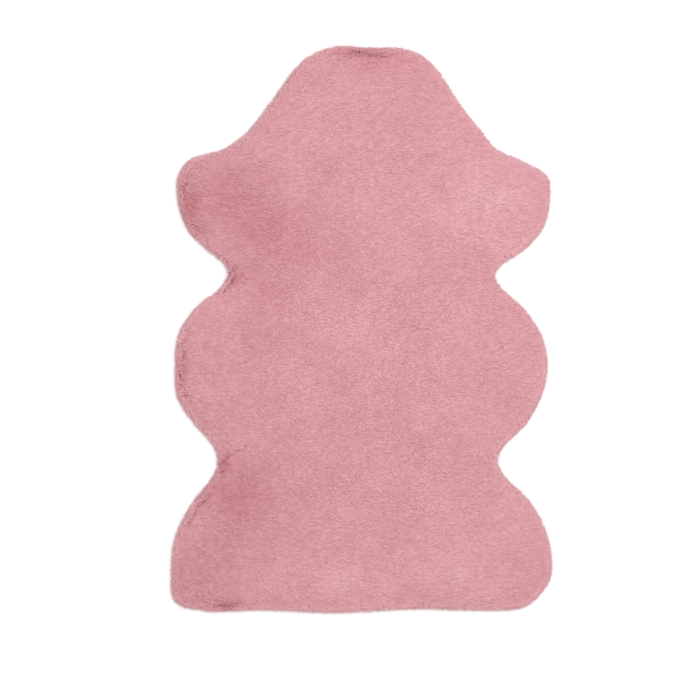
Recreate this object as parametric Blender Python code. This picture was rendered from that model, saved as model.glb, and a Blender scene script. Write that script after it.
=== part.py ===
"""A small shag rug of plush fur cloth, cut to the outline of a hide.

It lies flat, pile up. X runs across it, +Y towards its narrow end and +Z up from the floor, in metres.
The rug is one cut of cloth, so it is one solid: a lumpy slab of pile whose rim is drawn out into
two rows of short locks. The lower row lies on the floor, and the upper one droops over its gaps.
"""

import math
import random
from bisect import bisect
from collections import namedtuple
from itertools import accumulate

import bmesh
import bpy
from mathutils import Vector, kdtree, noise
from mathutils.geometry import delaunay_2d_cdt

# The cut, measured to the tips of the pile. The two sides are read at the same stations.
Station = namedtuple("Station", "along left right")
SIDES = (
    Station(0.434, -0.079, 0.094),  # round corners of the narrow end
    Station(0.409, -0.107, 0.122),
    Station(0.358, -0.144, 0.155),
    Station(0.311, -0.182, 0.192),
    Station(0.286, -0.217, 0.213),
    Station(0.267, -0.273, 0.254),  # tops of the shoulders
    Station(0.241, -0.290, 0.295),
    Station(0.210, -0.291, 0.299),
    Station(0.162, -0.277, 0.289),
    Station(0.128, -0.247, 0.261),
    Station(0.102, -0.216, 0.223),
    Station(0.087, -0.211, 0.212),  # upper waist
    Station(0.068, -0.221, 0.220),
    Station(0.033, -0.263, 0.257),
    Station(-0.011, -0.290, 0.286),
    Station(-0.059, -0.294, 0.295),  # widest at the middle lobes
    Station(-0.106, -0.291, 0.285),
    Station(-0.147, -0.266, 0.263),
    Station(-0.185, -0.234, 0.226),
    Station(-0.209, -0.227, 0.216),  # lower waist
    Station(-0.233, -0.235, 0.228),
    Station(-0.271, -0.265, 0.266),
    Station(-0.327, -0.294, 0.295),
    Station(-0.391, -0.301, 0.300),  # hips
    Station(-0.430, -0.295, 0.272),  # round corners of the wide end
)
EdgePoint = namedtuple("EdgePoint", "across along")
NARROW_END = (
    EdgePoint(-0.036, 0.448),
    EdgePoint(0.014, 0.445),
    EdgePoint(0.061, 0.445),
)
WIDE_END = (
    EdgePoint(0.251, -0.441),
    EdgePoint(0.172, -0.444),
    EdgePoint(0.085, -0.442),
    EdgePoint(-0.041, -0.448),
    EdgePoint(-0.152, -0.444),
    EdgePoint(-0.255, -0.444),
)

# The pile. Its relief is a sum of unevennesses, each of a span and a height.
PILE_HEIGHT = 0.0205
Relief = namedtuple("Relief", "span height")
RELIEFS = (
    Relief(0.170, 0.0044),  # swells of the whole pile
    Relief(0.052, 0.0034),  # lumps
    Relief(0.026, 0.0030),  # tufts
)
TUFT_SPACING = 0.0120
TUFT_SCATTER = 0.0020

# The rim, as rings of points above and below the roots of the locks. Inset is the way in from the outline.
Ring = namedtuple("Ring", "inset height")
LOWER_ROOTS = Ring(0.0115, 0.0000)
LOWER_CROWN = Ring(0.0105, 0.0065)
UPPER_ROOTS = Ring(0.0110, 0.0085)
UPPER_CROWN = Ring(0.0135, 0.0160)
DOME_WIDTH = 0.036

# The locks of each row. The tip is a blunt end, and its width is a share of the root's.
LockRow = namedtuple("LockRow", "rise rise_spread thickness reach_least reach_most")
LOWER_LOCKS = LockRow(0.0000, 0.0000, 0.0028, -0.0016, 0.0008)
UPPER_LOCKS = LockRow(0.0068, 0.0012, 0.0024, -0.0034, 0.0002)
LOCKS_IN_A_ROW = 148
LOWER_PHASE = 0.25
UPPER_PHASE = 0.75
ROOT_SCATTER = 0.17
TIP_WIDTH_LEAST = 0.36
TIP_WIDTH_MOST = 0.68
TIP_LEAN = 0.0026
PILE_SEED = 7

CURVE_STEPS = 24
SMOOTH_UNDER = math.radians(40)
PILE_COLOUR = (0.690, 0.335, 0.365, 1.0)
PILE_ROUGHNESS = 0.9


def clear_scene():
    for obj in list(bpy.data.objects):
        bpy.data.objects.remove(obj, do_unlink=True)


def outline_points():
    """The cut's own points, clockwise from the narrow end, seen from above."""
    right = [Vector((s.right, s.along)) for s in SIDES]
    left = [Vector((s.left, s.along)) for s in reversed(SIDES)]
    narrow = [Vector(p) for p in NARROW_END]
    wide = [Vector(p) for p in WIDE_END]
    return narrow + right + wide + left


def smooth_loop(points, steps):
    """A closed centripetal Catmull-Rom curve through the points."""
    loop = []
    for i in range(len(points)):
        p0, p1, p2, p3 = (points[(i + k) % len(points)] for k in (-1, 0, 1, 2))
        t1 = (p1 - p0).length ** 0.5
        t2 = t1 + (p2 - p1).length ** 0.5
        t3 = t2 + (p3 - p2).length ** 0.5
        for step in range(steps):
            t = t1 + (t2 - t1) * step / steps
            a1 = p0.lerp(p1, t / t1)
            a2 = p1.lerp(p2, (t - t1) / (t2 - t1))
            a3 = p2.lerp(p3, (t - t2) / (t3 - t2))
            b1 = a1.lerp(a2, t / t2)
            b2 = a2.lerp(a3, (t - t1) / (t3 - t1))
            loop.append(b1.lerp(b2, (t - t1) / (t2 - t1)))
    return loop


def places_along(loop, shares):
    """Places on a closed loop, at shares of the way round it."""
    ends = loop[1:] + loop[:1]
    lengths = [(b - a).length for a, b in zip(loop, ends)]
    reached = list(accumulate(lengths))
    places = []
    for share in shares:
        walked = share % 1.0 * reached[-1]
        i = bisect(reached, walked)
        places.append(ends[i].lerp(loop[i], (reached[i] - walked) / lengths[i]))
    return places


def root_shares(phase, chance):
    """Where one row's locks part from each other, as shares of the loop, unevenly spaced."""
    shares = []
    for i in range(LOCKS_IN_A_ROW):
        shares.append((i + phase + chance.uniform(-ROOT_SCATTER, ROOT_SCATTER)) / LOCKS_IN_A_ROW)
    return shares


def middles(shares):
    """Half-way between each share and the next, round the loop."""
    following = shares[1:] + [shares[0] + 1.0]
    return [(a + b) / 2 for a, b in zip(shares, following)]


def outward_of(places):
    """The outward direction at each of these places, for a loop that runs clockwise."""
    found = []
    for i in range(len(places)):
        along = places[(i + 1) % len(places)] - places[i - 1]
        found.append(Vector((-along.y, along.x)).normalized())
    return found


def ring_points(places, ring):
    """The ring's corners, each place of the outline moved inwards."""
    return [p - n * ring.inset for p, n in zip(places, outward_of(places))]


def pile_top(place, edge_tree):
    """Height of the pile at a place, domed down towards the rim."""
    full = PILE_HEIGHT
    for relief in RELIEFS:
        full += relief.height * noise.noise(Vector((*place, relief.span)) / relief.span)
    inset = edge_tree.find(Vector((*place, 0.0)))[2]
    fall = max(0.0, 1.0 - inset / DOME_WIDTH)
    return full - (full - UPPER_CROWN.height) * fall**2 * (3.0 - 2.0 * fall)


def tuft_places(border, edge_tree, chance):
    """An uneven triangular lattice of places on the rug's top, inside the border or beyond the outline."""
    xs = [p.x for p in border]
    ys = [p.y for p in border]
    row_step = TUFT_SPACING * 3**0.5 / 2
    rows = int((max(ys) - min(ys)) / row_step) + 1
    columns = int((max(xs) - min(xs)) / TUFT_SPACING) + 1
    least = UPPER_CROWN.inset + TUFT_SPACING / 2
    places = []
    for row in range(rows):
        for column in range(columns):
            x = min(xs) + (column + row % 2 / 2) * TUFT_SPACING
            y = min(ys) + row * row_step
            x += chance.uniform(-TUFT_SCATTER, TUFT_SCATTER)
            y += chance.uniform(-TUFT_SCATTER, TUFT_SCATTER)
            if edge_tree.find(Vector((x, y, 0.0)))[2] > least:
                places.append(Vector((x, y)))
    return places


def add_ring(bm, points, height):
    return [bm.verts.new((p.x, p.y, height)) for p in points]


def add_walls(bm, lower, upper):
    """Upright faces between two rings of the same phase, one for the root of each lock."""
    count = len(lower)
    walls = []
    for i in range(count):
        j = (i + 1) % count
        walls.append(bm.faces.new((lower[j], lower[i], upper[i], upper[j])))
    return walls


def add_ledge(bm, lower, upper):
    """The zigzag band between two rings that stand half a space apart."""
    count = len(lower)
    for i in range(count):
        j = (i + 1) % count
        bm.faces.new((lower[j], lower[i], upper[i]))
        bm.faces.new((lower[j], upper[i], upper[j]))


def add_top(bm, crown, border, edge_tree, chance):
    """The lumpy upper side, filled inside the crown of the upper locks."""
    tufts = tuft_places(border, edge_tree, chance)
    loop = list(range(len(border)))
    places, _, faces, origins, _, _ = delaunay_2d_cdt(
        border + tufts, [], [loop], 1, TUFT_SPACING * 1e-3
    )
    corners = []
    for place, origin in zip(places, origins):
        if origin[0] < len(border):
            corners.append(crown[origin[0]])
        else:
            corners.append(bm.verts.new((*place, pile_top(place, edge_tree))))
    for face in faces:
        bm.faces.new([corners[i] for i in face])
    for corner in corners:
        if not corner.link_faces:
            bm.verts.remove(corner)


def draw_out_locks(bm, walls, places, row, chance):
    """Each wall face is extruded to a blunt tip near the outline, of its own reach, width and lean."""
    for wall, place, out in zip(walls, places, outward_of(places)):
        tip = bmesh.ops.extrude_discrete_faces(bm, faces=[wall])["faces"][0]
        along = Vector((-out.y, out.x))
        end = place + along * chance.uniform(-TIP_LEAN, TIP_LEAN)
        end += out * chance.uniform(row.reach_least, row.reach_most)
        width = chance.uniform(TIP_WIDTH_LEAST, TIP_WIDTH_MOST)
        low = row.rise + chance.uniform(-row.rise_spread, row.rise_spread)
        centre = tip.calc_center_median()
        for vert in tip.verts:
            offset = vert.co - centre
            corner = end + along * along.dot(offset.xy) * width
            height = low + row.thickness if offset.z > 0 else low
            vert.co = (corner.x, corner.y, height)


def centre_on_floor(bm):
    """Puts the origin on the floor under the middle of the rug."""
    xs = [v.co.x for v in bm.verts]
    ys = [v.co.y for v in bm.verts]
    middle = Vector((max(xs) + min(xs), max(ys) + min(ys), 0.0)) / 2
    bmesh.ops.translate(bm, verts=bm.verts, vec=-middle)


def build_rug_mesh():
    loop = smooth_loop(outline_points(), CURVE_STEPS)
    edge_tree = kdtree.KDTree(len(loop))
    for i, point in enumerate(loop):
        edge_tree.insert((point.x, point.y, 0.0), i)
    edge_tree.balance()

    chance = random.Random(PILE_SEED)
    lower_shares = root_shares(LOWER_PHASE, chance)
    upper_shares = root_shares(UPPER_PHASE, chance)
    lower_places = places_along(loop, lower_shares)
    upper_places = places_along(loop, upper_shares)

    bm = bmesh.new()
    lower_roots = add_ring(bm, ring_points(lower_places, LOWER_ROOTS), LOWER_ROOTS.height)
    lower_crown = add_ring(bm, ring_points(lower_places, LOWER_CROWN), LOWER_CROWN.height)
    upper_roots = add_ring(bm, ring_points(upper_places, UPPER_ROOTS), UPPER_ROOTS.height)
    border = ring_points(upper_places, UPPER_CROWN)
    upper_crown = add_ring(bm, border, UPPER_CROWN.height)

    bm.faces.new(lower_roots)
    lower_walls = add_walls(bm, lower_roots, lower_crown)
    add_ledge(bm, lower_crown, upper_roots)
    upper_walls = add_walls(bm, upper_roots, upper_crown)
    add_top(bm, upper_crown, border, edge_tree, chance)
    draw_out_locks(bm, lower_walls, places_along(loop, middles(lower_shares)), LOWER_LOCKS, chance)
    draw_out_locks(bm, upper_walls, places_along(loop, middles(upper_shares)), UPPER_LOCKS, chance)

    centre_on_floor(bm)
    bmesh.ops.recalc_face_normals(bm, faces=bm.faces)
    mesh = bpy.data.meshes.new("rug")
    bm.to_mesh(mesh)
    bm.free()
    mesh.shade_smooth()
    mesh.set_sharp_from_angle(angle=SMOOTH_UNDER)
    return mesh


def pile_material():
    material = bpy.data.materials.new("pile")
    material.use_nodes = True
    shader = material.node_tree.nodes["Principled BSDF"]
    shader.inputs["Base Color"].default_value = PILE_COLOUR
    shader.inputs["Roughness"].default_value = PILE_ROUGHNESS
    shader.inputs["Metallic"].default_value = 0.0
    return material


def main():
    clear_scene()
    collection = bpy.data.collections.new("shag_rug")
    bpy.context.scene.collection.children.link(collection)
    rug = bpy.data.objects.new("rug", build_rug_mesh())
    rug.data.materials.append(pile_material())
    collection.objects.link(rug)


main()
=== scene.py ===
"""The looks of a small hide-shaped rug of plush fur cloth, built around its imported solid.

Three kinds of piece replace the solid: the ground fabric that lies on the floor, the dense lower pile
that fills the rug, and the locks of pile that show. Each lock is a few curved, tapered strands that
start in the lower pile and draw together at their tips. The nap lies towards +X, and at the rim the
pile lies over outwards, with stray hairs past it. Sizes are in metres, and X, Y and Z are the
frame's own.
"""

import math
from collections import namedtuple

import bmesh
import bpy
import numpy as np
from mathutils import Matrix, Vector
from mathutils.bvhtree import BVHTree
from mathutils.geometry import delaunay_2d_cdt


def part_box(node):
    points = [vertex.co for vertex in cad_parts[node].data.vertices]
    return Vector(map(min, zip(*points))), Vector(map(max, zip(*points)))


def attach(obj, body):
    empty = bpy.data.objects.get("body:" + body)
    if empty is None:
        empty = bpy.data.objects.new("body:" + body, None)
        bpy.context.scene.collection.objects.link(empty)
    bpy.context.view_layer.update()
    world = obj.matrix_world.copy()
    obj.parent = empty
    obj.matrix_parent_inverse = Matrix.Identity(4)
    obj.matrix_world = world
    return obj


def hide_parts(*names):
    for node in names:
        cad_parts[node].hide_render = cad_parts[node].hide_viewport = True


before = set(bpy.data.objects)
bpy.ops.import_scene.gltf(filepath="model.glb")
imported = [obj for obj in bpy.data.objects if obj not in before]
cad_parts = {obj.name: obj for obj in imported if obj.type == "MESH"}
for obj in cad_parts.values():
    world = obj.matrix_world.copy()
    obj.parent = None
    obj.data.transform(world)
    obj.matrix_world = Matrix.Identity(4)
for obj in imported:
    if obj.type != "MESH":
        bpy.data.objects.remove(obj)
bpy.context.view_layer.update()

RUG_LOW, RUG_HIGH = (np.array(corner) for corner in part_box("rug"))

# The cut, measured to the tips of the pile. The two sides are read at the same stations.
Station = namedtuple("Station", "along left right")
SIDES = (
    Station(0.434, -0.079, 0.094),  # round corners of the narrow end
    Station(0.409, -0.107, 0.122),
    Station(0.358, -0.144, 0.155),
    Station(0.311, -0.182, 0.192),
    Station(0.286, -0.217, 0.213),
    Station(0.267, -0.273, 0.254),  # tops of the shoulders
    Station(0.241, -0.290, 0.295),
    Station(0.210, -0.291, 0.299),
    Station(0.162, -0.277, 0.289),
    Station(0.128, -0.247, 0.261),
    Station(0.102, -0.216, 0.223),
    Station(0.087, -0.211, 0.212),  # upper waist
    Station(0.068, -0.221, 0.220),
    Station(0.033, -0.263, 0.257),
    Station(-0.011, -0.290, 0.286),
    Station(-0.059, -0.294, 0.295),  # widest at the middle lobes
    Station(-0.106, -0.291, 0.285),
    Station(-0.147, -0.266, 0.263),
    Station(-0.185, -0.234, 0.226),
    Station(-0.209, -0.227, 0.216),  # lower waist
    Station(-0.233, -0.235, 0.228),
    Station(-0.271, -0.265, 0.266),
    Station(-0.327, -0.294, 0.295),
    Station(-0.391, -0.301, 0.300),  # hips
    Station(-0.430, -0.295, 0.272),  # round corners of the wide end
)
# Places on the two ends, as x and y.
NARROW_END = ((-0.036, 0.448), (0.014, 0.445), (0.061, 0.445))
WIDE_END = (
    (0.251, -0.441),
    (0.172, -0.444),
    (0.085, -0.442),
    (-0.041, -0.448),
    (-0.152, -0.444),
    (-0.255, -0.444),
)
CURVE_STEPS = 24

# Smooth unevenness of about this span, and by how much.
Uneven = namedtuple("Uneven", "span amount")

# The layers, from the floor up.
FABRIC_THICK = 0.0014
FABRIC_INSET = 0.0105
LOWER_PILE_INSET = 0.0045
LOWER_PILE_ROUND = 0.0060
LOWER_PILE_LEAST = 0.0040
LOWER_PILE_SPACING = 0.0050
LOWER_PILE_LUMPS = Uneven(0.0070, 0.0004)
LUMPS_INSET = (0.010, 0.020)
TIP_LAYER = 0.0017
RIM_POINTS = 640

# The pile's top: its height at the rim, at the crown inside it, and how the two join.
RIM_HEIGHT = 0.0085
CROWN_HEIGHT = 0.0160
CROWN_INSET = 0.0135
CROWN_DIP = 0.0030
CROWN_BLEND = (-0.002, 0.006)
HEIGHT_STEP = 0.005

# The locks that show. Along is the way that the nap lies, and across is at right angles to it.
NAP_ANGLE = math.radians(-6)
LOCK_ALONG = 0.0052
LOCK_ACROSS = 0.0038
LATTICE_JITTER = 0.34
LOCK_CLEARANCE = 0.0005
LOCK_TURN = 0.12
LOCK_SPREAD = 1.15
LOCK_GATHER = 0.50
LOCK_LIFT = 0.0004
LOCK_TONE = 0.42
STRANDS_IN_A_LOCK = 6
STRAND_REACH = 0.0102
REACH_RANGE = (0.80, 1.25)
STRAND_WIDTH = 0.0015
WIDTH_RANGE = (0.75, 1.25)
STRAND_THICK = 0.45
STRAND_LIFT = 0.0001
STRAND_TONE = 0.03
ROOT_DEPTH = 0.0016
BEND_AT = 0.42
BEND_DEPTH = 0.0009
BEND_JITTER = 0.0004
TIP_JITTER = 0.0005
TIP_INSIDE = (-0.0006, 0.0030)
LEAST_OUTWARDS = 0.05
# Painted light: how much paler the pile is painted towards the outline, where light shines through
# it.
EDGE_LIGHT = 1.40
SHADING_LIFT = 0.80
STRANDS_IN_A_PIECE = 24_000

# How the nap swirls, in radians, and how the pile's depth of colour varies.
SWIRLS = (Uneven(0.110, 0.24), Uneven(0.034, 0.22))
MOTTLES = (Uneven(0.060, 0.16), Uneven(0.030, 0.20), Uneven(0.012, 0.12))

# The rim, where the pile lies over outwards, up to an uneven parting.
RIM_WIDTH = 0.0125
PARTING_WANDER = Uneven(0.013, 0.0048)
RIM_STRAND_SPACING = 0.0010
RIM_STRAND_WIDTH = 0.0015
RIM_LAYERS = 8
WALL_LAYERS = 4
RIM_PHASE = 0.382
RIM_RISE = (0.05, 0.95)
RIM_SHINGLES = 0.0095
RIM_WANDER = Uneven(0.014, 0.0030)
NUBS = (Uneven(0.009, 0.0010), Uneven(0.004, 0.0006))
RIM_NAP = 0.35
RIM_LEAN = 0.30
RIM_TIPS = (-0.0010, 0.0066)
RIM_ROOT_DEPTH = 0.0014
RIM_LENGTH = 0.0040
RIM_LEAST_LENGTH = 0.0020
RIM_LEAST_OUTWARDS = 0.5
DOME_ROOTS = 0.0045
CLOSED_ROOTS = 0.0060
ROOT_CLEARANCE = 0.0005
WALL_ARCH = 0.0008
DOME_DEPTH = 0.0010
LOWEST_DOME = 0.0005
LOWEST_TIP = 0.0004

# Stray hairs, fine and sparse, that stand out past the rest at the rim.
STRAY_SPACING = 0.00042
STRAY_WIDTH = 0.0004
STRAY_PAST = 0.0040
STRAY_LENGTH = 0.0085
STRAY_LENGTHS = (0.8, 1.2)
STRAY_WIDTHS = (0.7, 1.3)
STRAY_CLUSTER = 1.3
STRAY_LEAN = 0.45
STRAY_RISE = (0.12, 1.0)
STRAY_ROOT_DROP = 0.0010
STRAY_ARCH = 0.0006
# Painted light: how much paler the stray hairs are painted, as light shines through them.
STRAY_LIGHT = 0.60

# Where the pile has been brushed, with painted light and shade for how the light falls on the brushed
# nap
# and for its dark clumps: an ellipse on the rug, how much paler it paints the pile (painted shade
# where it is below nought), and by how many degrees it turns the nap.
BrushedAndShaded = namedtuple("BrushedAndShaded", "x y radius_x radius_y shade turn")
BRUSHED_AND_SHADED = (
    BrushedAndShaded(-0.225, 0.205, 0.075, 0.050, -1.10, -16),
    BrushedAndShaded(-0.165, 0.160, 0.045, 0.060, -0.67, 10),
    BrushedAndShaded(-0.155, 0.062, 0.045, 0.050, -0.79, 20),
    BrushedAndShaded(-0.080, 0.130, 0.065, 0.045, -0.43, 14),
    BrushedAndShaded(-0.195, -0.262, 0.058, 0.055, -1.22, -14),
    BrushedAndShaded(-0.268, -0.390, 0.032, 0.048, -0.73, 12),
    BrushedAndShaded(-0.222, -0.345, 0.040, 0.040, -0.43, 0),
    BrushedAndShaded(-0.224, -0.430, 0.040, 0.014, -0.73, 0),
    BrushedAndShaded(0.013, 0.425, 0.046, 0.020, -0.85, 10),
    BrushedAndShaded(0.190, 0.200, 0.110, 0.075, 0.67, -8),
    BrushedAndShaded(-0.023, 0.010, 0.060, 0.036, 0.49, -10),
    BrushedAndShaded(-0.045, -0.390, 0.040, 0.032, 0.49, 8),
    BrushedAndShaded(0.135, -0.380, 0.080, 0.045, 0.67, 6),
    BrushedAndShaded(-0.271, 0.196, 0.010, 0.026, -1.30, 0),
    BrushedAndShaded(-0.256, 0.160, 0.010, 0.012, -0.60, 0),
    BrushedAndShaded(-0.005, 0.436, 0.044, 0.007, -1.20, 0),
    BrushedAndShaded(-0.214, -0.434, 0.017, 0.006, -1.60, 0),
    BrushedAndShaded(-0.284, -0.070, 0.006, 0.035, -0.80, 0),
    BrushedAndShaded(-0.201, 0.080, 0.007, 0.016, -1.00, 0),
    BrushedAndShaded(-0.217, -0.209, 0.007, 0.008, -1.30, 0),
)

# Where the parting inside the rim is open towards the roots: an ellipse on the rug, and how far.
Parted = namedtuple("Parted", "x y radius_x radius_y depth")
PARTED = (
    Parted(-0.276, 0.205, 0.034, 0.048, 1.2),
    Parted(-0.200, 0.082, 0.024, 0.024, 1.2),
    Parted(-0.280, -0.040, 0.034, 0.090, 1.1),
    Parted(-0.225, -0.207, 0.020, 0.016, 0.8),
    Parted(-0.260, -0.275, 0.034, 0.046, 1.1),
    Parted(-0.208, -0.432, 0.036, 0.026, 1.0),
    Parted(0.000, 0.430, 0.070, 0.026, 1.0),
)
# Creases where the pile falls open along a line, away from the rim's own parting.
Crease = namedtuple("Crease", "x0 y0 x1 y1 width depth")
CREASES = (
    Crease(-0.224, -0.218, -0.212, -0.201, 0.0021, 1.15),
    Crease(-0.212, -0.201, -0.203, -0.192, 0.0022, 1.10),
    Crease(-0.203, -0.192, -0.183, -0.185, 0.0024, 1.15),
    Crease(-0.240, -0.264, -0.231, -0.249, 0.0026, 1.20),
    Crease(-0.222, -0.229, -0.216, -0.221, 0.0024, 1.10),
    Crease(-0.203, 0.096, -0.197, 0.086, 0.0020, 1.05),
    Crease(-0.197, 0.086, -0.207, 0.070, 0.0020, 1.10),
    Crease(-0.207, 0.070, -0.219, 0.058, 0.0018, 1.05),
    Crease(-0.197, 0.086, -0.180, 0.080, 0.0020, 1.00),
    Crease(-0.030, 0.440, 0.005, 0.434, 0.0015, 0.85),
    Crease(0.005, 0.434, 0.040, 0.434, 0.0014, 0.80),
    Crease(-0.230, -0.431, -0.216, -0.437, 0.0017, 0.95),
    Crease(-0.216, -0.433, -0.200, -0.437, 0.0015, 0.90),
    Crease(-0.286, -0.066, -0.283, -0.082, 0.0018, 1.00),
    Crease(-0.281, -0.104, -0.273, -0.104, 0.0022, 1.10),
)

# What an open parting does: its width and depth, how far the pile beside it leans away, where no
# lock stands, and how its roots are shaded.
PARTING_WIDTH = 0.0026
PARTING_DEPTH = 0.0052
PARTING_FALL = 0.0050
PARTING_CLEAR = 1.00
CREASE_CLEAR = 0.70
GROOVE_SHADE = 1.5
OPEN_SHARE = 0.75
OPEN_MOST = 1.3
OPEN_BREAKS = Uneven(0.015, 0.9)
PARTING_SHARPENED = 0.85
PARTING_BLEND = (0.8, 0.7)
NAP_LOST = 0.6
LEAN_INWARDS = 0.9
LEAST_LEAN = 0.40

# How wide the unevenness is laid out, how much of a baking map is kept clear, and how many places
# are measured at once.
DRIFT_WIDTH = 1.2
MAP_MARGIN = 1.02
CELL_MARGIN = 0.08
PLACES_AT_A_TIME = 8192

SEED = 11
LUMP_SEED, SWIRL_SEED, PARTING_SEED, SHINGLE_SEED, BREAK_SEED, NUB_SEED, MOTTLE_SEED = (
    SEED + n for n in (1, 2, 4, 5, 6, 7, 11)
)


def smooth_loop(points, steps):
    """A closed centripetal Catmull-Rom curve through the points, as rows of x and y."""
    loop = []
    count = len(points)
    shares = (np.arange(steps) / steps)[:, None]
    for i in range(count):
        p0, p1, p2, p3 = (points[(i + k) % count] for k in (-1, 0, 1, 2))
        t1 = np.linalg.norm(p1 - p0) ** 0.5
        t2 = t1 + np.linalg.norm(p2 - p1) ** 0.5
        t3 = t2 + np.linalg.norm(p3 - p2) ** 0.5
        t = t1 + (t2 - t1) * shares
        a1 = p0 + (p1 - p0) * t / t1
        a2 = p1 + (p2 - p1) * (t - t1) / (t2 - t1)
        a3 = p2 + (p3 - p2) * (t - t2) / (t3 - t2)
        b1 = a1 + (a2 - a1) * t / t2
        b2 = a2 + (a3 - a2) * (t - t1) / (t3 - t1)
        loop.append(b1 + (b2 - b1) * (t - t1) / (t2 - t1))
    return np.concatenate(loop)


def cut_outline():
    """The rug's outline, clockwise from the narrow end, centred as the solid is."""
    right = [(s.right, s.along) for s in SIDES]
    left = [(s.left, s.along) for s in reversed(SIDES)]
    points = np.array([*NARROW_END, *right, *WIDE_END, *left])
    loop = smooth_loop(points, CURVE_STEPS)
    return loop - (loop.min(0) + loop.max(0)) / 2


def outward_of(loop):
    along = np.roll(loop, -1, 0) - np.roll(loop, 1, 0)
    out = np.stack([-along[:, 1], along[:, 0]], 1)
    return out / np.linalg.norm(out, axis=1)[:, None]


OUTLINE = cut_outline()
OUTWARD = outward_of(OUTLINE)
EDGE_STEPS = np.linalg.norm(np.roll(OUTLINE, -1, 0) - OUTLINE, axis=1)


def places_along(count, phase=0.0):
    """Evenly spaced places on the outline, and the outward direction at each."""
    reached = np.concatenate([[0.0], np.cumsum(EDGE_STEPS)])
    wanted = (np.arange(count) + phase) / count % 1.0 * reached[-1]
    closed = np.concatenate([OUTLINE, OUTLINE[:1]])
    outward = np.concatenate([OUTWARD, OUTWARD[:1]])
    places = np.stack([np.interp(wanted, reached, closed[:, k]) for k in (0, 1)], 1)
    out = np.stack([np.interp(wanted, reached, outward[:, k]) for k in (0, 1)], 1)
    return places, out / np.linalg.norm(out, axis=1)[:, None]


def inset_of(places):
    """How far inside the outline each place lies, and the outward direction of the nearest edge."""
    inset = np.empty(len(places))
    out = np.empty((len(places), 2))
    for first in range(0, len(places), PLACES_AT_A_TIME):
        part = slice(first, first + PLACES_AT_A_TIME)
        away = places[part, None, :] - OUTLINE[None]
        nearest = (away**2).sum(2).argmin(1)
        gap = places[part] - OUTLINE[nearest]
        inset[part] = -(gap * OUTWARD[nearest]).sum(1)
        out[part] = OUTWARD[nearest]
        far = np.linalg.norm(gap, axis=1)
        inset[part] = np.sign(inset[part]) * np.maximum(np.abs(inset[part]), far)
    return inset, out


def drift(places, span, seed):
    """Smooth unevenness over the rug, from -1 to 1, of about this span."""
    cells = int(DRIFT_WIDTH / span) + 4
    lattice = np.random.default_rng(seed).uniform(-1, 1, (cells, cells))
    at = places / span + cells / 2
    low = np.clip(np.floor(at).astype(int), 0, cells - 2)
    share = at - low
    share = share * share * (3 - 2 * share)
    (i, j), (u, v) = low.T, share.T
    near = lattice[i, j] * (1 - u) + lattice[i + 1, j] * u
    far = lattice[i, j + 1] * (1 - u) + lattice[i + 1, j + 1] * u
    return near * (1 - v) + far * v


def unevenness(places, uneven, seed):
    return uneven.amount * drift(places, uneven.span, seed)


def smooth_step(x, low, high):
    t = np.clip((x - low) / (high - low), 0, 1)
    return t * t * (3 - 2 * t)


def between(grid, spot):
    """The grid's values at places between its points."""
    low = np.clip(np.floor(spot).astype(int), 0, np.array(grid.shape) - 2)
    (i, j), (u, v) = low.T, np.clip(spot - low, 0, 1).T
    near = grid[i, j] * (1 - u) + grid[i + 1, j] * u
    far = grid[i, j + 1] * (1 - u) + grid[i + 1, j + 1] * u
    return near * (1 - v) + far * v


class PileTop:
    """The height of the solid's top, read on a grid and smoothed down over the rim."""

    def __init__(self, node):
        mesh = node.data
        corners = [node.matrix_world @ v.co for v in mesh.vertices]
        tree = BVHTree.FromPolygons(corners, [tuple(p.vertices) for p in mesh.polygons])
        self.low = RUG_LOW[:2] - HEIGHT_STEP
        size = RUG_HIGH[:2] - RUG_LOW[:2] + 3 * HEIGHT_STEP
        columns, rows = (size / HEIGHT_STEP).astype(int) + 1
        self.grid = np.full((columns, rows), CROWN_HEIGHT)
        above = RUG_HIGH[2] + HEIGHT_STEP
        for i in range(columns):
            for j in range(rows):
                x, y = self.low + np.array((i, j)) * HEIGHT_STEP
                hit = tree.ray_cast(Vector((x, y, above)), Vector((0, 0, -1)))[0]
                if hit and hit.z > CROWN_HEIGHT - CROWN_DIP:
                    self.grid[i, j] = hit.z

    def at(self, places, inset):
        inner = between(self.grid, (places - self.low) / HEIGHT_STEP)
        rise = np.clip(inset / CROWN_INSET, 0, 1)
        outer = RIM_HEIGHT + (CROWN_HEIGHT - RIM_HEIGHT) * np.sin(rise * math.pi / 2)
        share = smooth_step(inset, *(CROWN_INSET + way for way in CROWN_BLEND))
        return outer * (1 - share) + inner * share


TOP = PileTop(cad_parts["rug"])


def falloff(places, patch):
    """From 1 at the middle of an elliptical patch down to 0 well outside it."""
    across = (places[:, 0] - patch.x) / patch.radius_x
    along = (places[:, 1] - patch.y) / patch.radius_y
    return np.exp(-(across**2 + along**2))


def parting_inset(places):
    return RIM_WIDTH + unevenness(places, PARTING_WANDER, PARTING_SEED)


def openness(places):
    """How open the parting is at the nearest part of the rim, broken up along it."""
    total = sum(patch.depth * falloff(places, patch) for patch in PARTED)
    return total * np.clip(OPEN_SHARE + unevenness(places, OPEN_BREAKS, BREAK_SEED), 0, OPEN_MOST)


def creased(places):
    """How deep the creases are at each place, as a share of a parting's full depth."""
    total = np.zeros(len(places))
    for crease in CREASES:
        start = np.array((crease.x0, crease.y0))
        line = np.array((crease.x1, crease.y1)) - start
        share = np.clip((places - start) @ line / (line @ line), 0, 1)
        away = np.linalg.norm(places - start - share[:, None] * line, axis=1) / crease.width
        total = np.maximum(total, crease.depth * np.exp(-(away**2)))
    return total


def groove(places, inset):
    """How deep a parting or crease is at each place, as a share of a parting's full depth."""
    away = (inset - parting_inset(places)) / PARTING_WIDTH
    return np.maximum(openness(places) * np.exp(-(away**2)), creased(places))


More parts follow.
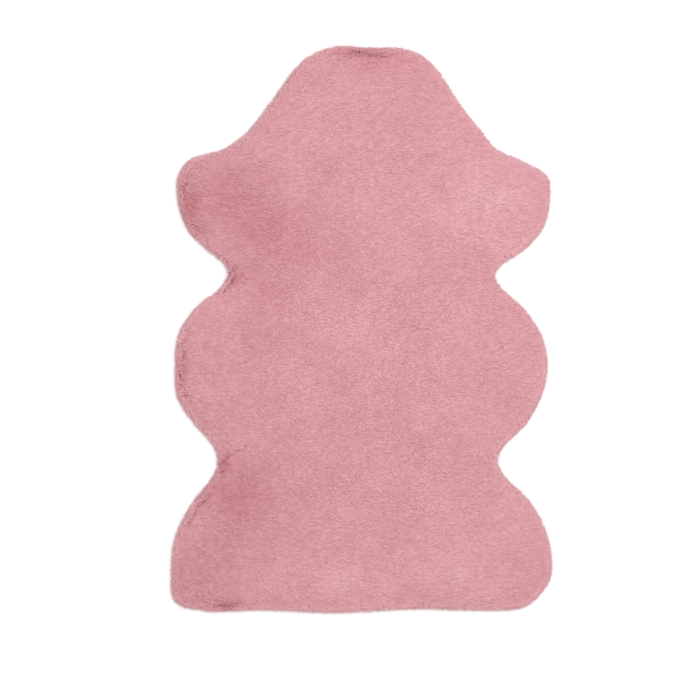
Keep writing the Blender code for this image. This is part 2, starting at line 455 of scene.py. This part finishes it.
def lower_pile_height(places, inset):
    """The top of the dense lower pile: a pillow that reaches its full height a little way in."""
    full = TOP.at(places, inset) - TIP_LAYER - FABRIC_THICK
    full = np.maximum(full - PARTING_DEPTH * groove(places, inset), LOWER_PILE_LEAST)
    way = np.clip((inset - LOWER_PILE_INSET) / LOWER_PILE_ROUND, 0, 1)
    return FABRIC_THICK + full * np.sqrt(1 - (1 - way) ** 2)


def add_object(name, mesh, material):
    obj = bpy.data.objects.new(name, mesh)
    obj.data.materials.append(material)
    bpy.context.scene.collection.objects.link(obj)
    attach(obj, "root")
    return obj


def flat_map(mesh):
    """A map for baking: the rug seen from above, in a square."""
    size = (RUG_HIGH - RUG_LOW).max() * MAP_MARGIN
    middle = (RUG_HIGH + RUG_LOW) / 2
    corners = np.empty(len(mesh.loops), int)
    mesh.loops.foreach_get("vertex_index", corners)
    places = np.empty(len(mesh.vertices) * 3)
    mesh.vertices.foreach_get("co", places)
    uv = (places.reshape(-1, 3)[corners, :2] - middle[:2]) / size + 0.5
    mesh.uv_layers.new(name="OFBake").data.foreach_set("uv", uv.ravel())


def fabric_edge():
    places, out = places_along(RIM_POINTS)
    return places - out * FABRIC_INSET


def ground_fabric(material):
    """The knitted ground, a thin sheet whose cut edge the pile overhangs."""
    bm = bmesh.new()
    face = bm.faces.new([bm.verts.new((x, y, 0.0)) for x, y in fabric_edge()])
    face.normal_update()
    if face.normal.z > 0:
        face.normal_flip()
    lifted = bmesh.ops.extrude_face_region(bm, geom=[face])["geom"]
    top = [g for g in lifted if isinstance(g, bmesh.types.BMVert)]
    bmesh.ops.translate(bm, verts=top, vec=(0, 0, FABRIC_THICK))
    bmesh.ops.recalc_face_normals(bm, faces=bm.faces)
    mesh = bpy.data.meshes.new("ground_fabric")
    bm.to_mesh(mesh)
    bm.free()
    flat_map(mesh)
    return add_object("ground_fabric", mesh, material)


def inner_lattice(along, across, angle, least, chance):
    """Jittered places in rows that lie along an angle, at least this far inside the outline."""
    reach = np.linalg.norm(RUG_HIGH - RUG_LOW) / 2
    u = np.arange(-reach, reach, along)
    v = np.arange(-reach, reach, across)
    grid_u, grid_v = np.meshgrid(u, v, indexing="ij")
    grid_u = grid_u + (np.arange(len(v)) % 2 * 0.5)[None] * along
    grid_u = grid_u + chance.uniform(-LATTICE_JITTER, LATTICE_JITTER, grid_u.shape) * along
    grid_v = grid_v + chance.uniform(-LATTICE_JITTER, LATTICE_JITTER, grid_v.shape) * across
    c, s = math.cos(angle), math.sin(angle)
    places = np.stack([grid_u * c - grid_v * s, grid_u * s + grid_v * c], -1).reshape(-1, 2)
    inside = (np.abs(places) < (RUG_HIGH - RUG_LOW)[:2] / 2).all(1)
    places = places[inside]
    inset, out = inset_of(places)
    kept = inset > least
    return places[kept], inset[kept], out[kept]


def lower_pile(material, chance):
    """The dense lower part of the pile, one closed lumpy body on the ground fabric."""
    rim, out = places_along(RIM_POINTS)
    rim = rim - out * LOWER_PILE_INSET
    least = LOWER_PILE_INSET + LOWER_PILE_SPACING / 3
    spacing = LOWER_PILE_SPACING
    inner, _, _ = inner_lattice(spacing, spacing, 0.0, least, chance)
    flat = [Vector(p) for p in np.concatenate([rim, inner])]
    loop = list(range(len(rim)))
    places, _, faces, _, _, _ = delaunay_2d_cdt(flat, [], [loop], 1, spacing * 1e-3)
    xy = np.array([tuple(p) for p in places])
    inset, _ = inset_of(xy)
    z = lower_pile_height(xy, inset)
    z += unevenness(xy, LOWER_PILE_LUMPS, LUMP_SEED) * smooth_step(inset, *LUMPS_INSET)
    bm = bmesh.new()
    layer = bm.verts.layers.float.new("shade")
    corners = [bm.verts.new((x, y, h)) for (x, y), h in zip(xy, z)]
    # Painted light and shade: the brushed patches, painted light towards the outline, and painted
    # shade in the partings and creases.
    shades = brushed_and_shaded(xy, "shade") + painted_edge_light(inset) - GROOVE_SHADE * groove(xy, inset) ** 2
    for corner, shade in zip(corners, shades):
        corner[layer] = shade
    for face in faces:
        bm.faces.new([corners[i] for i in face])
    loose = [v for v in bm.verts if not v.link_faces]
    bmesh.ops.delete(bm, geom=loose, context="VERTS")
    edge = [e for e in bm.edges if e.is_boundary]
    bmesh.ops.contextual_create(bm, geom=edge)
    bmesh.ops.recalc_face_normals(bm, faces=bm.faces)
    mesh = bpy.data.meshes.new("lower_pile")
    bm.to_mesh(mesh)
    bm.free()
    mesh.shade_smooth()
    flat_map(mesh)
    return add_object("lower_pile", mesh, material)


def unit(v):
    return v / np.maximum(np.linalg.norm(v, axis=-1, keepdims=True), 1e-9)


def turned(angle):
    return np.stack([np.cos(angle), np.sin(angle)], -1)


def brushed_and_shaded(places, column):
    """The sum of what the brushed patches do at each place: painted light and shade in the shade
    column, turns of the nap in the turn column.
    """
    return sum(getattr(patch, column) * falloff(places, patch) for patch in BRUSHED_AND_SHADED)


def nap_direction(places):
    """The way the nap lies, combed towards +X with brushed swirls."""
    swirl = sum(unevenness(places, uneven, SWIRL_SEED + i) for i, uneven in enumerate(SWIRLS))
    return turned(NAP_ANGLE + swirl + np.radians(brushed_and_shaded(places, "turn")))


class InsetGrid:
    """How far inside the outline any place lies, read from a grid."""

    STEP = 0.0025

    def __init__(self):
        self.low = RUG_LOW[:2] - 4 * self.STEP
        self.shape = ((RUG_HIGH - RUG_LOW)[:2] / self.STEP).astype(int) + 9
        spots = np.indices(self.shape).reshape(2, -1).T
        self.grid = inset_of(self.low + spots * self.STEP)[0].reshape(self.shape)

    def at(self, places):
        return between(self.grid, (places - self.low) / self.STEP)


INSET = InsetGrid()


def lie_of(places, inset, out):
    """How a strand leans at a place: its direction, and from 0 for upright to 1 for laid over.

    Near the rim the pile falls outwards. Where that is against the nap it parts."""
    parting = parting_inset(places)
    open_by = openness(places)
    soft = 1 - PARTING_SHARPENED * np.minimum(open_by, 1)
    before, after = PARTING_BLEND
    share = 1 - smooth_step(inset, parting * (1 - before * soft), parting * (1 + after * soft))
    kept = 1 - NAP_LOST * share
    beyond = np.maximum(inset - parting, 0) / PARTING_FALL
    inwards = LEAN_INWARDS * open_by * np.exp(-(beyond**2)) * (inset > parting)
    lean = nap_direction(places) * kept[:, None] + out * (share - inwards)[:, None]
    amount = np.linalg.norm(lean, axis=1)
    return unit(lean), np.clip(amount, LEAST_LEAN, 1)


class Strands(namedtuple("Strands", "root bend tip width tone")):
    """Roots, bends and tips of many strands, with a width and a tone for each; the tone carries
    painted light and shade as well as the pile's own random tone.
    """

    def part(self, chosen):
        return Strands(*(column[chosen] for column in self))


def strands_of(root, bend, tip, width, tone):
    """Strands whose places are given as x and y together and z apart."""
    return Strands(*(np.column_stack(place) for place in (root, bend, tip)), width, tone)


def together(parts):
    return Strands(*(np.concatenate(columns) for columns in zip(*parts)))


def mottling(places):
    """Small uneven differences in the pile's depth of colour."""
    return sum(unevenness(places, uneven, MOTTLE_SEED + i) for i, uneven in enumerate(MOTTLES))


def painted_edge_light(inset):
    """Painted light: thin pile lets the light through, so it is painted paler towards the outline."""
    return EDGE_LIGHT * (1 - smooth_step(inset, 0.0, RIM_WIDTH))


def lock_strands(chance):
    """The strands of the locks all over the rug."""
    least = LOWER_PILE_INSET + LOCK_CLEARANCE
    found = inner_lattice(LOCK_ALONG, LOCK_ACROSS, NAP_ANGLE, least, chance)
    covered = groove(*found[:2]) < PARTING_CLEAR
    covered &= creased(found[0]) < CREASE_CLEAR
    c, inset, out = (column[covered] for column in found)
    direction, lean = lie_of(c, inset, out)
    count = len(c)
    angle = np.arctan2(direction[:, 1], direction[:, 0]) + chance.normal(0, LOCK_TURN, count)
    direction = turned(angle)
    sideways = np.stack([-direction[:, 1], direction[:, 0]], 1)
    reach = STRAND_REACH * lean * chance.uniform(*REACH_RANGE, count)
    # Tips stay inside the outline.
    outwards = np.maximum((direction * out).sum(1), LEAST_OUTWARDS)
    reach = np.minimum(reach, (inset - chance.uniform(*TIP_INSIDE, count)) / outwards)
    tip_c = c + direction * reach[:, None]
    lift = chance.normal(0, LOCK_LIFT, count)
    tone = chance.uniform(-LOCK_TONE, LOCK_TONE, count) + painted_edge_light(inset)

    parts = []
    for _ in range(STRANDS_IN_A_LOCK):
        u = chance.uniform(-0.5, 0.5, count) * LOCK_ALONG
        v = chance.uniform(-0.5, 0.5, count) * LOCK_ACROSS * LOCK_SPREAD
        offset = direction * u[:, None] + sideways * v[:, None]
        root = c + offset
        tip = tip_c + offset * LOCK_GATHER + chance.normal(0, TIP_JITTER, (count, 2))
        aside = sideways * chance.normal(0, BEND_JITTER, count)[:, None]
        bend = root + (tip - root) * BEND_AT + aside
        low = lower_pile_height(root, INSET.at(root)) - ROOT_DEPTH
        low = np.maximum(low, FABRIC_THICK / 2)
        tip_in = np.maximum(INSET.at(tip), 0)
        high = TOP.at(tip, tip_in) + lift + chance.normal(0, STRAND_LIFT, count)
        middle = TOP.at(bend, INSET.at(bend)) + lift - BEND_DEPTH
        width = STRAND_WIDTH * chance.uniform(*WIDTH_RANGE, count)
        # Each strand's tone is random and mottled, with painted light and shade from the rim and the
        # brushed patches.
        own_tone_and_painted_light = tone + chance.normal(0, STRAND_TONE, count)
        own_tone_and_painted_light = own_tone_and_painted_light + brushed_and_shaded(root, "shade") + mottling(root)
        parts.append(strands_of((root, low), (bend, middle), (tip, high), width, own_tone_and_painted_light))
    return together(parts)


def rim_strands(chance):
    """The strands that overhang the cut edge, in layers from the floor up.

    The lower ones end at the outline, one above another. The upper ones lie over them like shingles,
    and each layer ends further in."""
    count = int(EDGE_STEPS.sum() / RIM_STRAND_SPACING)
    parts = []
    for layer in range(RIM_LAYERS):
        rise = layer + chance.uniform(*RIM_RISE, count)
        on_wall = np.minimum(rise / WALL_LAYERS, 1)
        on_dome = np.maximum(rise - WALL_LAYERS, 0) / (RIM_LAYERS - WALL_LAYERS)
        edge, out = places_along(count, layer * RIM_PHASE)
        along = np.stack([-out[:, 1], out[:, 0]], 1)
        edge = edge + along * chance.normal(0, RIM_STRAND_SPACING / 2, count)[:, None]
        wander = RIM_SHINGLES + unevenness(edge, RIM_WANDER, SHINGLE_SEED)
        tip_in = chance.uniform(*RIM_TIPS, count) + wander * on_dome
        for i, nub in enumerate(NUBS):
            tip_in = tip_in + unevenness(edge, nub, NUB_SEED + i)
        tip = edge - out * tip_in[:, None]
        lean = chance.normal(0, RIM_LEAN, count)[:, None]
        direction = unit(out + nap_direction(edge) * RIM_NAP + along * lean)
        slant = np.maximum((direction * out).sum(1), RIM_LEAST_OUTWARDS)
        least = LOWER_PILE_INSET + ROOT_CLEARANCE + DOME_ROOTS * on_dome
        root_in = np.maximum(least, tip_in + RIM_LENGTH)
        closed = np.maximum(1 - openness(edge), 0)
        most = parting_inset(edge) - ROOT_CLEARANCE + CLOSED_ROOTS * closed
        root_in = np.minimum(root_in, most)
        root_in = np.maximum(root_in, tip_in + RIM_LEAST_LENGTH)
        root = tip - direction * ((root_in - tip_in) / slant)[:, None]
        bend = root + (tip - root) * BEND_AT
        low = np.maximum(lower_pile_height(root, root_in) - RIM_ROOT_DEPTH, FABRIC_THICK / 2)
        dome = TOP.at(tip, np.maximum(tip_in, 0)) + chance.normal(0, STRAND_LIFT, count)
        high = np.maximum(LOWEST_DOME + (dome - LOWEST_DOME) * on_wall, LOWEST_TIP)
        over = TOP.at(bend, INSET.at(bend)) - DOME_DEPTH
        middle = low + (high - low) * 0.5 + WALL_ARCH
        middle = middle + np.maximum(over - middle, 0) * on_wall**3
        width = RIM_STRAND_WIDTH * chance.uniform(*WIDTH_RANGE, count)
        # Painted light towards the outline, painted light and shade from the brushed patches, and a
        # random tone.
        tone = painted_edge_light(tip_in) + chance.normal(0, STRAND_TONE, count) + brushed_and_shaded(root, "shade")
        found = strands_of((root, low), (bend, middle), (tip, high), width, tone)
        # No strand of the dome lies over a crease.
        over_crease = np.maximum(creased(bend), creased(root)) > CREASE_CLEAR
        parts.append(found.part(~((on_wall == 1) & over_crease)))
    return together(parts)


def stray_hairs(chance):
    """Fine hairs all round the rim, at any height up its side, that blur the rug's edge."""
    count = int(EDGE_STEPS.sum() / STRAY_SPACING)
    edge, out = places_along(count)
    along = np.stack([-out[:, 1], out[:, 0]], 1)
    past = STRAY_PAST * chance.uniform(0.0, 1.0, count) ** STRAY_CLUSTER
    direction = unit(out + along * chance.normal(0, STRAY_LEAN, count)[:, None])
    tip = edge + out * past[:, None]
    length = STRAY_LENGTH * chance.uniform(*STRAY_LENGTHS, count)
    root = tip - direction * length[:, None]
    high = RIM_HEIGHT * chance.uniform(*STRAY_RISE, count)
    low = np.maximum(high - STRAY_ROOT_DROP, FABRIC_THICK / 2)
    bend = root + (tip - root) * BEND_AT
    middle = (low + high) / 2 + STRAY_ARCH
    width = STRAY_WIDTH * chance.uniform(*STRAY_WIDTHS, count)
    # Painted light: paler past the outline and paler still for fine hairs, with the brushed patches'
    # painted light and shade.
    tone = painted_edge_light(-past) + STRAY_LIGHT + brushed_and_shaded(root, "shade")
    return strands_of((root, low), (bend, middle), (tip, high), width, tone)


def strand_mesh(name, strands):
    """One mesh of closed spindles: a root, a three-sided ring at the bend, and a pointed tip each."""
    count = len(strands.root)
    ahead = unit(strands.tip - strands.root)
    side = unit(np.cross(np.broadcast_to((0.0, 0.0, 1.0), ahead.shape), ahead))
    up = np.cross(ahead, side)
    half = side * (strands.width / 2)[:, None]
    ridge = up * (strands.width * STRAND_THICK)[:, None]
    bend = strands.bend
    corners = [strands.root, bend - half, bend + ridge, bend + half, strands.tip]
    corners = np.stack(corners, 1).reshape(-1, 3)

    # Fine hairs scatter the light, so the upper sides are shaded nearly as the pile's top is.
    lift = np.array((0.0, 0.0, SHADING_LIFT))
    lifted = [unit(lift + n * (1 - SHADING_LIFT)) for n in (up, -side, up, side, up)]
    down = np.broadcast_to(-up[:, None], (count, 3, 3))
    faces = np.array([(0, 1, 2), (0, 2, 3), (0, 3, 1), (2, 1, 4), (3, 2, 4), (1, 3, 4)])
    under = (False, False, True, False, False, True)
    normals = [
        down if lower else np.stack([lifted[corner] for corner in face], 1)
        for face, lower in zip(faces, under)
    ]
    loops = (faces[None] + np.arange(count)[:, None, None] * 5).reshape(-1)
    mesh = bpy.data.meshes.new(name)
    mesh.vertices.add(len(corners))
    mesh.vertices.foreach_set("co", corners.ravel())
    mesh.loops.add(len(loops))
    mesh.loops.foreach_set("vertex_index", loops)
    mesh.polygons.add(len(loops) // 3)
    mesh.polygons.foreach_set("loop_start", np.arange(0, len(loops), 3))
    mesh.update(calc_edges=True)
    mesh.shade_smooth()
    mesh.normals_split_custom_set(np.stack(normals, 1).reshape(-1, 3))

    along = np.tile([0.0, BEND_AT, BEND_AT, BEND_AT, 1.0], count)
    across = np.tile([0.5, 0.0, 0.5, 1.0, 0.5], count)
    facts = np.stack([along, across, np.repeat(strands.tone, 5)], 1)
    mesh.attributes.new("strand", "FLOAT_VECTOR", "POINT").data.foreach_set("vector", facts.ravel())
    own_map(mesh, count)
    return mesh


def own_map(mesh, count):
    """A map for baking that gives each strand a cell of its own, with its three sides in a row."""
    cells = math.ceil(math.sqrt(count))
    cell = np.stack([np.arange(count) % cells, np.arange(count) // cells], 1)
    left, middle, right = ((0.0, 1 / 3), (1 / 3, 2 / 3), (2 / 3, 1.0))
    spots = []
    for low, high in (left, middle, right):
        spots += [((low + high) / 2, 0.0), (low, BEND_AT), (high, BEND_AT)]
    for low, high in (left, middle, right):
        spots += [(high, BEND_AT), (low, BEND_AT), ((low + high) / 2, 1.0)]
    inside = np.array(spots) * (1 - 2 * CELL_MARGIN) + CELL_MARGIN
    uv = (cell[:, None] + inside[None]) / cells
    mesh.uv_layers.new(name="OFBake").data.foreach_set("uv", uv.ravel())


def locks(material, chance):
    """The strands as pieces, each a band of the rug from its wide end to its narrow one."""
    every = together([lock_strands(chance), rim_strands(chance), stray_hairs(chance)])
    order = np.argsort(every.root[:, 1], kind="stable")
    pieces = []
    parts = math.ceil(len(order) / STRANDS_IN_A_PIECE)
    for i, chosen in enumerate(np.array_split(order, parts)):
        name = f"pile_locks_{i + 1}"
        pieces.append(add_object(name, strand_mesh(name, every.part(chosen)), material))
    return pieces


def new_material(name):
    material = bpy.data.materials.new(name)
    material.use_nodes = True
    nodes = material.node_tree.nodes
    return material, nodes, material.node_tree.links, nodes["Principled BSDF"]


def ramp(nodes, *stops):
    """A colour ramp through (position, colour) stops."""
    node = nodes.new("ShaderNodeValToRGB")
    elements = node.color_ramp.elements
    while len(elements) < len(stops):
        elements.new(0.5)
    for element, (position, colour) in zip(elements, stops):
        element.position = position
        element.color = (*colour, 1.0)
    return node


def maths(nodes, links, operation, *values):
    node = nodes.new("ShaderNodeMath")
    node.operation = operation
    for socket, value in zip(node.inputs, values):
        if isinstance(value, (int, float)):
            socket.default_value = value
        else:
            links.new(value, socket)
    return node.outputs[0]


def noise_of(nodes, links, scale, detail=3.0, vector=None):
    if vector is None:
        vector = nodes.new("ShaderNodeTexCoord").outputs["Object"]
    node = nodes.new("ShaderNodeTexNoise")
    node.inputs["Scale"].default_value = scale
    node.inputs["Detail"].default_value = detail
    links.new(vector, node.inputs["Vector"])
    return node.outputs["Fac"]


def tinted(nodes, links, colour, value):
    """The colour with its brightness multiplied."""
    node = nodes.new("ShaderNodeHueSaturation")
    links.new(colour, node.inputs["Color"])
    links.new(value, node.inputs["Value"])
    return node.outputs["Color"]


def bumped(nodes, links, shader, height, strength, distance):
    node = nodes.new("ShaderNodeBump")
    node.inputs["Strength"].default_value = strength
    node.inputs["Distance"].default_value = distance
    links.new(height, node.inputs["Height"])
    links.new(node.outputs["Normal"], shader.inputs["Normal"])


# The pile's colours, and the scales of the noises, in turns to the metre or to the strand.
# The crevice colour is painted shade; the deep and pale colours are reached by the pile's own tone
# and by painted shade and painted light.
CREVICE_SHADE_COLOUR = (0.300, 0.095, 0.120)
DEEP_COLOUR = (0.500, 0.190, 0.215)
MIDDLE_COLOUR = (0.640, 0.315, 0.344)
PALE_COLOUR = (0.770, 0.470, 0.504)
SHEEN_TINT = (1.0, 0.80, 0.82, 1.0)
PATCH_SCALE = 9.0
HAIRS_ACROSS = 11.0
HAIR_ALONG = 2.2
HAIR_OF_ITS_OWN = 37.0
CLUMP_SCALE = 150.0
LOWER_HAIR_SCALE = (180, 1600, 180)
WALE_SCALE = 170
COURSE_SCALE = 120
FUZZ_SCALE = 600.0
CLOUD_SCALE = 14.0


def pile_colour(nodes, links, shade):
    """From the red of painted shade in the crevices, through dusty pink, to the pale lilac pink of
    painted light on brushed tips.
    """
    node = ramp(
        nodes,
        (0.0, CREVICE_SHADE_COLOUR),
        (0.25, DEEP_COLOUR),
        (0.60, MIDDLE_COLOUR),
        (1.0, PALE_COLOUR),
    )
    links.new(shade, node.inputs[0])
    return node.outputs[0]


def weighted(nodes, links, start, *parts):
    """The start value with each socket times its weight added."""
    total = start
    for socket, weight in parts:
        total = maths(nodes, links, "ADD", maths(nodes, links, "MULTIPLY", socket, weight), total)
    return total


def fur_surface(shader, sheen):
    shader.inputs["Specular IOR Level"].default_value = 0.22
    shader.inputs["Sheen Weight"].default_value = sheen
    shader.inputs["Sheen Roughness"].default_value = 0.45
    shader.inputs["Sheen Tint"].default_value = SHEEN_TINT


def lock_material():
    """Fine man-made fur, each strand a bundle of hairs: painted shade makes it deeper at the roots
    than at the paler tips.
    """
    material, nodes, links, shader = new_material("fur_locks")
    strand = nodes.new("ShaderNodeAttribute")
    strand.attribute_name = "strand"
    split = nodes.new("ShaderNodeSeparateXYZ")
    links.new(strand.outputs["Vector"], split.inputs[0])
    along, across, tone = split.outputs

    # Hairs side by side across a strand, uneven along it.
    hairs = nodes.new("ShaderNodeCombineXYZ")
    links.new(maths(nodes, links, "MULTIPLY", across, HAIRS_ACROSS), hairs.inputs[0])
    links.new(maths(nodes, links, "MULTIPLY", along, HAIR_ALONG), hairs.inputs[1])
    links.new(maths(nodes, links, "MULTIPLY", tone, HAIR_OF_ITS_OWN), hairs.inputs[2])
    hair = noise_of(nodes, links, 1.0, 2.0, hairs.outputs[0])
    patch = noise_of(nodes, links, PATCH_SCALE, 2.0)
    # Painted shade: deeper towards the roots; the tone brings the strands' painted light and shade.
    shade = weighted(nodes, links, 0.405, (tone, 0.18), (along, 0.05), (hair, 0.12), (patch, 0.12))
    links.new(pile_colour(nodes, links, shade), shader.inputs["Base Color"])
    links.new(weighted(nodes, links, 0.62, (hair, 0.16)), shader.inputs["Roughness"])
    fur_surface(shader, 0.25)
    bumped(nodes, links, shader, hair, 0.45, 0.0003)
    return material


def lower_pile_material():
    """The lower pile, with fine hairs lying along the nap, painted shade in deep red where it is
    parted, and painted light towards the outline.
    """
    material, nodes, links, shader = new_material("fur_lower_pile")
    place = nodes.new("ShaderNodeTexCoord").outputs["Object"]
    stretch = nodes.new("ShaderNodeMapping")
    stretch.inputs["Rotation"].default_value = (0, 0, -NAP_ANGLE)
    stretch.inputs["Scale"].default_value = LOWER_HAIR_SCALE
    links.new(place, stretch.inputs["Vector"])
    hair = noise_of(nodes, links, 1.0, 3.0, stretch.outputs[0])
    clump = noise_of(nodes, links, CLUMP_SCALE, 2.0)
    mixed = maths(nodes, links, "MULTIPLY", hair, clump)
    patch = noise_of(nodes, links, PATCH_SCALE, 2.0)
    given = nodes.new("ShaderNodeAttribute")
    given.attribute_name = "shade"
    tone = given.outputs["Fac"]
    # The given shade is all painted: light towards the outline, shade in partings and creases, both
    # from the brushed patches.
    shade = weighted(nodes, links, 0.32, (tone, 0.18), (hair, 0.34), (mixed, 0.22), (patch, 0.12))
    links.new(pile_colour(nodes, links, shade), shader.inputs["Base Color"])
    links.new(weighted(nodes, links, 0.78, (hair, 0.15)), shader.inputs["Roughness"])
    fur_surface(shader, 0.20)
    bumped(nodes, links, shader, mixed, 0.7, 0.0008)
    return material


def fabric_material():
    """The knitted ground: fine wales and courses in a paler pink."""
    material, nodes, links, shader = new_material("knitted_ground")
    place = nodes.new("ShaderNodeTexCoord").outputs["Object"]
    waves = []
    for axis, scale in (("X", WALE_SCALE), ("Y", COURSE_SCALE)):
        wave = nodes.new("ShaderNodeTexWave")
        wave.bands_direction = axis
        wave.inputs["Scale"].default_value = scale
        wave.inputs["Distortion"].default_value = 1.2
        wave.inputs["Detail Scale"].default_value = 3.0
        links.new(place, wave.inputs["Vector"])
        waves.append(wave.outputs["Fac"])
    knit = maths(nodes, links, "MULTIPLY", *waves)
    fuzz = noise_of(nodes, links, FUZZ_SCALE, 2.0)
    height = maths(nodes, links, "MULTIPLY_ADD", fuzz, 0.35, knit)
    shade = ramp(nodes, (0.0, (0.46, 0.24, 0.26)), (0.7, (0.72, 0.47, 0.48)))
    links.new(height, shade.inputs[0])
    cloud = noise_of(nodes, links, CLOUD_SCALE, 3.0)
    value = maths(nodes, links, "MULTIPLY_ADD", cloud, 0.2, 0.9)
    links.new(tinted(nodes, links, shade.outputs[0], value), shader.inputs["Base Color"])
    rough = maths(nodes, links, "MULTIPLY_ADD", fuzz, 0.15, 0.75)
    links.new(rough, shader.inputs["Roughness"])
    shader.inputs["Specular IOR Level"].default_value = 0.2
    bumped(nodes, links, shader, height, 0.6, 0.0004)
    return material


# The photograph's frame is 700 pixels square, seen from straight above. Its scale is that of the
# rug's outline, which lies a little above the floor.
FRAME_PIXELS = 700
RUG_MIDDLE_PIXEL = (361.6, 329.25)
METRES_PER_PIXEL = 0.00158
OUTLINE_LEVEL = 0.006
LENS = 0.110
SENSOR = 0.036
FARTHEST_SEEN = 50

# The lights, all aimed at the rug's middle, and the floor just under the rug.
Light = namedtuple("Light", "name place size power colour")
LIGHTS = (
    Light("top", (0.4, 0.3, 3.6), 2.4, 74, (1.0, 1.0, 1.0)),
    Light("fill", (-1.4, -2.2, 1.2), 1.6, 12, (1.0, 1.0, 1.0)),
    Light("key", (1.9, 1.9, 1.9), 1.4, 32, (1.0, 0.99, 0.97)),
)
SKY_STRENGTH = 0.58
FLOOR_HALF = 6.0
FLOOR_DROP = 0.0002


def camera():
    data = bpy.data.cameras.new("camera")
    data.lens = LENS * 1000
    data.sensor_width = SENSOR * 1000
    data.clip_end = FARTHEST_SEEN
    obj = bpy.data.objects.new("camera", data)
    distance = FRAME_PIXELS * METRES_PER_PIXEL * LENS / SENSOR
    x = (FRAME_PIXELS / 2 - RUG_MIDDLE_PIXEL[0]) * METRES_PER_PIXEL
    y = (RUG_MIDDLE_PIXEL[1] - FRAME_PIXELS / 2) * METRES_PER_PIXEL
    obj.location = (x, y, OUTLINE_LEVEL + distance)
    bpy.context.scene.collection.objects.link(obj)
    bpy.context.scene.camera = obj


def area_light(light):
    data = bpy.data.lights.new(light.name, "AREA")
    data.shape = "DISK"
    data.size = light.size
    data.energy = light.power
    data.color = light.colour
    obj = bpy.data.objects.new(light.name, data)
    obj.location = light.place
    obj.rotation_euler = (-Vector(light.place)).to_track_quat("-Z", "Y").to_euler()
    bpy.context.scene.collection.objects.link(obj)


def studio():
    """Soft light from the upper right of the photograph, an even fill, and a pale floor."""
    world = bpy.data.worlds.new("studio")
    bpy.context.scene.world = world
    world.use_nodes = True
    background = world.node_tree.nodes["Background"]
    background.inputs["Color"].default_value = (1.0, 1.0, 1.0, 1.0)
    background.inputs["Strength"].default_value = SKY_STRENGTH
    for light in LIGHTS:
        area_light(light)

    mesh = bpy.data.meshes.new("floor")
    ways = ((-1, -1), (1, -1), (1, 1), (-1, 1))
    corners = [(x * FLOOR_HALF, y * FLOOR_HALF, 0) for x, y in ways]
    mesh.from_pydata(corners, [], [(0, 1, 2, 3)])
    floor = bpy.data.objects.new("floor", mesh)
    floor.location = (0, 0, -FLOOR_DROP)
    material, nodes, links, shader = new_material("floor")
    shade = ramp(nodes, (0.3, (0.95, 0.95, 0.95)), (0.7, (0.97, 0.97, 0.97)))
    links.new(noise_of(nodes, links, 1.5), shade.inputs[0])
    links.new(shade.outputs[0], shader.inputs["Base Color"])
    shader.inputs["Roughness"].default_value = 0.9
    shader.inputs["Specular IOR Level"].default_value = 0.1
    mesh.materials.append(material)
    bpy.context.scene.collection.objects.link(floor)
    view = bpy.context.scene.view_settings
    view.view_transform = "Standard"
    view.look = "None"


def main():
    chance = np.random.default_rng(SEED)
    camera()
    studio()
    fabric = ground_fabric(fabric_material())
    mass = lower_pile(lower_pile_material(), chance)
    pile = locks(lock_material(), chance)
    for piece in (fabric, mass, *pile):
        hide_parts("rug")


main()
